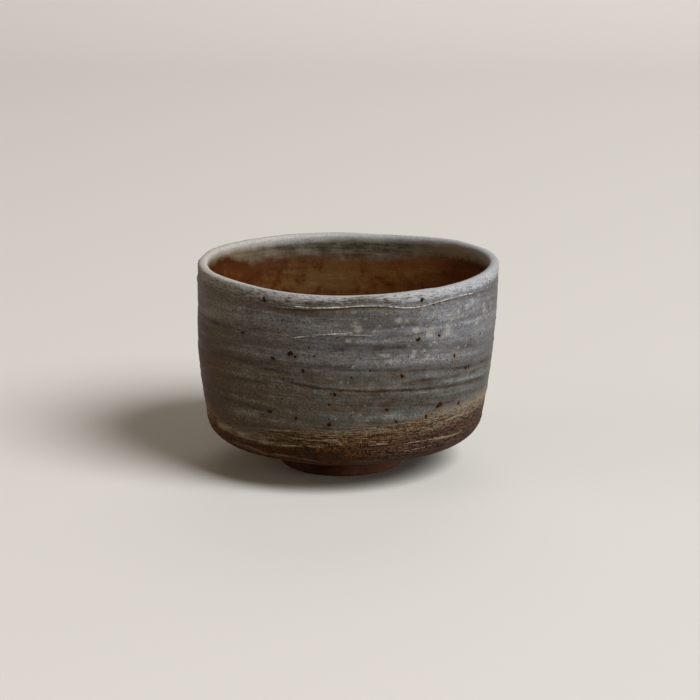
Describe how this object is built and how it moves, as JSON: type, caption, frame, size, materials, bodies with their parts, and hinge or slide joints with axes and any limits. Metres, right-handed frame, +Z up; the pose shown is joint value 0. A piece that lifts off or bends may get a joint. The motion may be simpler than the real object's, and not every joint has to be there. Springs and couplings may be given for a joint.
{
  "type": "tea bowl",
  "caption": "Hand-thrown stoneware tea bowl of half-cylinder form on a low bare foot ring, with a grey ash glaze outside, a brown liner glaze inside and an iron slip round the hip.",
  "frame": {"origin": "centre of the bowl's overall box, on the plane that the foot ring stands on", "axes": "+Z up out of the bowl's mouth; the pictured side faces -Y, with +X to its right"},
  "size_m": [0.1207, 0.1202, 0.0841],
  "materials": {
    "stoneware_clay": "fired, matte",
    "bare_clay": "fired, matte, toasted red",
    "luting_clay": "fired, matte",
    "iron_slip": "dry satin with trimming lines",
    "ash_glaze": "satin, speckled",
    "liner_glaze": "satin"
  },
  "bodies": {
    "root": {"clay_body": "stoneware_clay", "foot_ring": "bare_clay", "luting_slip": "luting_clay", "hip_slip": "iron_slip", "outer_glaze": "ash_glaze", "inner_glaze": "liner_glaze"}
  },
  "joints": []
}
